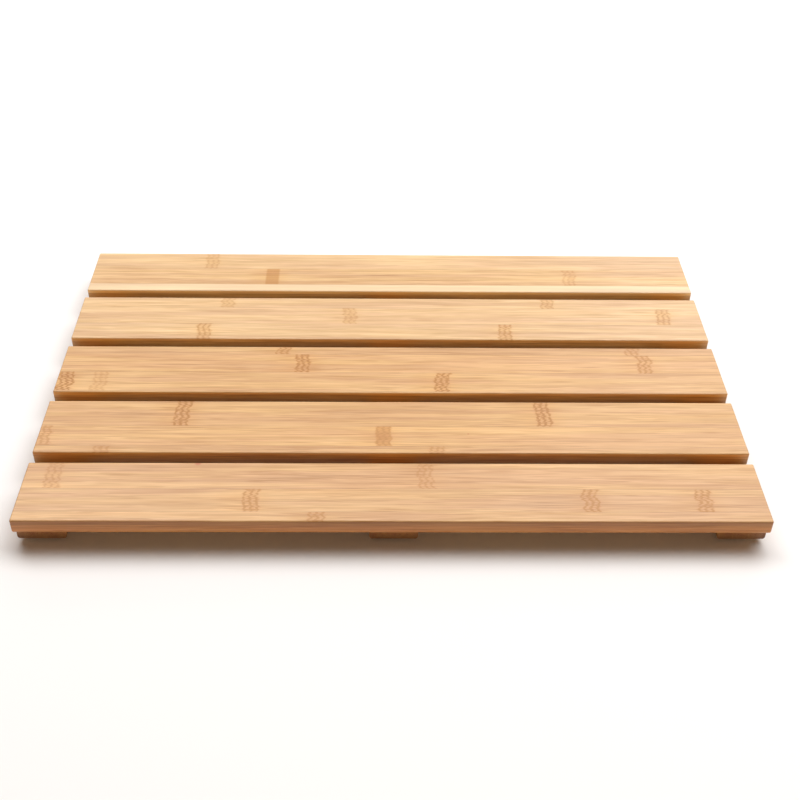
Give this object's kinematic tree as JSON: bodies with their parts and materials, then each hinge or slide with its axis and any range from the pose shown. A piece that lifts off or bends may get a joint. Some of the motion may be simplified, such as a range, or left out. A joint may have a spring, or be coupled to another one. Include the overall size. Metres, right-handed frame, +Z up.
{
  "type": "bath mat",
  "caption": "Bamboo duckboard bath mat: wide slats with drainage gaps, screwed from below to cross runners that stand on push-in rubber feet.",
  "frame": {"origin": "centre of the mat at floor level, on the underside of the middle foot", "axes": "+X along the slats to the right, +Y across the slats from the front slat to the rear slat, +Z up"},
  "size_m": [0.615, 0.4, 0.03],
  "materials": {
    "slat_bamboo": "laminated bamboo strips, satin clear lacquer",
    "runner_bamboo": "laminated bamboo strips, satin clear lacquer",
    "screw_steel": "plain stainless steel",
    "foot_rubber": "matt moulded rubber"
  },
  "bodies": {
    "root": {"front_slat": "slat_bamboo", "front_slat_screws": "screw_steel", "front_middle_slat": "slat_bamboo", "front_middle_slat_screws": "screw_steel", "middle_slat": "slat_bamboo", "middle_slat_screws": "screw_steel", "rear_middle_slat": "slat_bamboo", "rear_middle_slat_screws": "screw_steel", "rear_slat": "slat_bamboo", "rear_slat_screws": "screw_steel", "left_runner": "runner_bamboo", "centre_runner": "runner_bamboo", "right_runner": "runner_bamboo", "left_front_foot": "foot_rubber", "left_middle_foot": "foot_rubber", "left_rear_foot": "foot_rubber", "centre_front_foot": "foot_rubber", "centre_middle_foot": "foot_rubber", "centre_rear_foot": "foot_rubber", "right_front_foot": "foot_rubber", "right_middle_foot": "foot_rubber", "right_rear_foot": "foot_rubber"}
  },
  "joints": []
}
